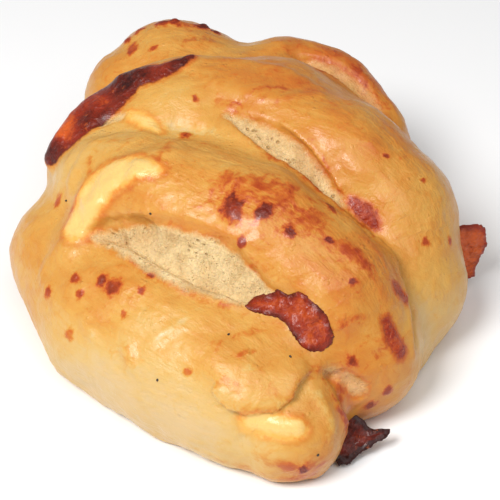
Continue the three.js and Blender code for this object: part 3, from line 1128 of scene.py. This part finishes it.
class BREAD_OT_finishes(bpy.types.Operator):
    """Makes the node groups and materials that the pieces share"""

    bl_idname = "bread.finishes"
    bl_label = "Finishes"

    def execute(self, context):
        crust_finish(self.colours(context, "cream straw light_gold gold amber russet umber"))
        crumb_finish(*self.colours(context, "crumb crumb_shade"))
        light, burnt, charred = self.colours(context, "burnt_light burnt charred")
        burnt_finish([light, self.halfway(light, burnt), burnt, self.halfway(burnt, charred), charred])
        cheese_finish(*self.colours(context, "cheese cheese_thin cheese_rim"))
        bread_material()
        burnt_material("burnt_sheet", 0.72)
        burnt_material("burnt_scab", 0.36)
        burnt_material("burnt_edge", 0.06)
        pepper_material()
        return {"FINISHED"}

    @staticmethod
    def colours(context, names):
        return [tuple(getattr(context.scene.bread_colours, name)) for name in names.split()]

    @staticmethod
    def halfway(first, second):
        return tuple((one + other) / 2 for one, other in zip(first, second))


class BREAD_OT_crust(bpy.types.Operator):
    """Shapes the roll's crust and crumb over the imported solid"""

    bl_idname = "bread.crust"
    bl_label = "Crust and crumb"

    def execute(self, context):
        sizes = context.scene.bread_sizes
        body = copy_of_node()
        cut_off_sheets(body)
        even_faces(body, sizes.grain)
        soften(body, sizes.smoothing)
        clay = Clay(body)
        self.shape(clay, sizes)
        clay.settle()
        even_faces(body, sizes.grain)
        soften(body, 3)
        clay = Clay(body)
        if len(clay.points) < FEWEST_POINTS:
            raise RuntimeError("the crust came out empty")
        self.shape(clay, sizes)
        paint_baked(clay)
        paint_grain(clay)
        small = ripple(clay.points * (0.7, 1.2, 1), 4.5, 3, seed=5)
        fine = ripple(clay.points, 1.8, 2, seed=15)
        clay.moves = clay.normals * (0.22 * small + 0.06 * fine)[:, None]
        clay.settle()
        clay.points[:, 2] = np.maximum(clay.points[:, 2] - max(clay.points[:, 2].min(), 0), 0)
        clay.settle()
        clay.write_masks()
        finish_piece(body, "baked_bread")
        return {"FINISHED"}

    @staticmethod
    def shape(clay, sizes):
        """Moves the crust into its folds, lips, cheese and blisters, and paints their masks."""
        lay_skins(clay)
        draw_strokes(clay)
        for places, rise, depth, ramp, overhang, lip in CREASES:
            rise, depth = rise * sizes.lip_rise / MM, depth * sizes.groove_depth / MM
            carve_crease(clay, places, rise, depth, ramp, overhang, lip)
        shape_crumb(clay)
        shape_cheese(clay)
        shape_burnt(clay)
        raise_blisters(clay)
        shape_foot(clay)
        clay.moves += clay.normals * (0.5 * ripple(clay.points, 13, 2, seed=1))[:, None]


class BREAD_OT_burnt_sheets(bpy.types.Operator):
    """Makes the two crisp sheets of burnt cheese that stand out of the bread"""

    bl_idname = "bread.burnt_sheets"
    bl_label = "Burnt sheets"

    def execute(self, context):
        thickness = context.scene.bread_sizes.sheet_thickness / MM
        front = hanging_sheet("burnt_sheet_front", FRONT_SHEET, thickness, curl=0.7, seed=11)
        right = hanging_sheet("burnt_sheet_right", RIGHT_SHEET, thickness, curl=0.5, seed=23)
        finish_piece(front, "burnt_sheet")
        finish_piece(right, "burnt_edge")
        return {"FINISHED"}


class BREAD_OT_burnt_scab(bpy.types.Operator):
    """Lays the leathery red-brown scab of burnt cheese on the crust"""

    bl_idname = "bread.burnt_scab"
    bl_label = "Burnt scab"

    def execute(self, context):
        clay = Clay(bpy.data.objects["bread_crust"])
        scab = draped_piece(
            clay, "burnt_scab", RED_PATCH, thickness=0.7, lift=0.1, swell=0.4, wrinkle=0.5, ragged=0.12,
            seed=31)
        finish_piece(scab, "burnt_scab")
        return {"FINISHED"}


class BREAD_OT_pepper(bpy.types.Operator):
    """Presses the grains of black pepper into the crust"""

    bl_idname = "bread.pepper"
    bl_label = "Pepper grains"

    def execute(self, context):
        size = context.scene.bread_sizes.pepper_size
        clay = Clay(bpy.data.objects["bread_crust"])
        bpy.ops.object.select_all(action="DESELECT")
        grains = []
        for number, place in enumerate(PEPPER):
            spot = clay.spot(place) * MM
            turn = (number * 1.3, number * 0.7, number * 2.1)
            bpy.ops.mesh.primitive_ico_sphere_add(
                subdivisions=2, radius=size / 2, location=tuple(spot), rotation=turn)
            grain = bpy.context.object
            grain.scale = (1, 0.8, 0.7)
            grains.append(grain)
        for grain in grains:
            grain.select_set(True)
        bpy.context.view_layer.objects.active = grains[0]
        bpy.ops.object.join()
        bpy.ops.object.transform_apply(location=True, rotation=True, scale=True)
        pepper = bpy.context.object
        pepper.name = "pepper_grains"
        finish_piece(pepper, "pepper")
        return {"FINISHED"}


class BREAD_OT_stage(bpy.types.Operator):
    """Sets the floor, the soft lights and the camera"""

    bl_idname = "bread.stage"
    bl_label = "Stage"

    def execute(self, context):
        stage = context.scene.bread_stage
        bpy.ops.object.select_all(action="DESELECT")
        bpy.ops.mesh.primitive_plane_add(size=FLOOR_SIZE)
        floor = bpy.context.object
        floor.name = "floor"
        floor.data.materials.append(floor_material(tuple(stage.floor)))
        self.light("key", stage.key_power, *KEY_LIGHT)
        self.light("fill", stage.fill_power, *FILL_LIGHT)
        world = bpy.data.worlds.new("studio")
        world.use_nodes = True
        background = world.node_tree.nodes["Background"].inputs
        background["Color"].default_value = (1, 1, 1, 1)
        background["Strength"].default_value = stage.sky
        context.scene.world = world
        context.scene.view_settings.view_transform = "Standard"
        self.camera(context, stage.focal_length)
        return {"FINISHED"}

    @staticmethod
    def towards(azimuth, elevation):
        """The direction from the roll to a light or the camera; azimuth 0 is straight in front."""
        turn, rise = math.radians(azimuth), math.radians(elevation)
        return Vector((math.sin(turn) * math.cos(rise), -math.cos(turn) * math.cos(rise), math.sin(rise)))

    def light(self, name, power, azimuth, elevation, distance, size):
        away = self.towards(azimuth, elevation)
        bpy.ops.object.light_add(type="AREA", radius=size, location=tuple(AIM + away * distance))
        lamp = bpy.context.object
        lamp.name = name
        lamp.data.shape = "DISK"
        lamp.data.size = size
        lamp.data.energy = power
        lamp.rotation_euler = away.to_track_quat("Z", "Y").to_euler()

    def camera(self, context, focal_length):
        away = self.towards(CAMERA_AZIMUTH, CAMERA_ELEVATION)
        distance = VIEW_WIDTH * focal_length / SENSOR_WIDTH
        bpy.ops.object.camera_add(location=tuple(AIM + away * distance))
        camera = bpy.context.object
        camera.data.lens = focal_length
        camera.data.sensor_width = SENSOR_WIDTH
        camera.data.clip_start = 0.01
        camera.rotation_euler = away.to_track_quat("Z", "Y").to_euler()
        context.scene.camera = camera


STEPS = (
    BREAD_OT_finishes, BREAD_OT_crust, BREAD_OT_burnt_sheets, BREAD_OT_burnt_scab, BREAD_OT_pepper,
    BREAD_OT_stage,
)


class BREAD_PT_panel(bpy.types.Panel):
    """Lists the roll's settings and its operators"""

    bl_label = "Twisted cheese roll"
    bl_idname = "BREAD_PT_panel"
    bl_space_type = "VIEW_3D"
    bl_region_type = "UI"
    bl_category = "Bread"

    def draw(self, context):
        scene = context.scene
        for settings in (scene.bread_sizes, scene.bread_colours, scene.bread_stage):
            column = self.layout.column()
            for name in settings.bl_rna.properties.keys():
                if name not in {"rna_type", "name"}:
                    column.prop(settings, name)
        for step in STEPS:
            self.layout.operator(step.bl_idname)


CLASSES = (BreadSizes, BreadColours, StageSettings, *STEPS, BREAD_PT_panel)


def register():
    for cls in CLASSES:
        bpy.utils.register_class(cls)
    bpy.types.Scene.bread_sizes = PointerProperty(type=BreadSizes)
    bpy.types.Scene.bread_colours = PointerProperty(type=BreadColours)
    bpy.types.Scene.bread_stage = PointerProperty(type=StageSettings)


def unregister():
    del bpy.types.Scene.bread_stage
    del bpy.types.Scene.bread_colours
    del bpy.types.Scene.bread_sizes
    for cls in reversed(CLASSES):
        bpy.utils.unregister_class(cls)


def main():
    register()
    for step in STEPS:
        category, name = step.bl_idname.split(".")
        getattr(getattr(bpy.ops, category), name)()


if __name__ == "__main__":
    main()
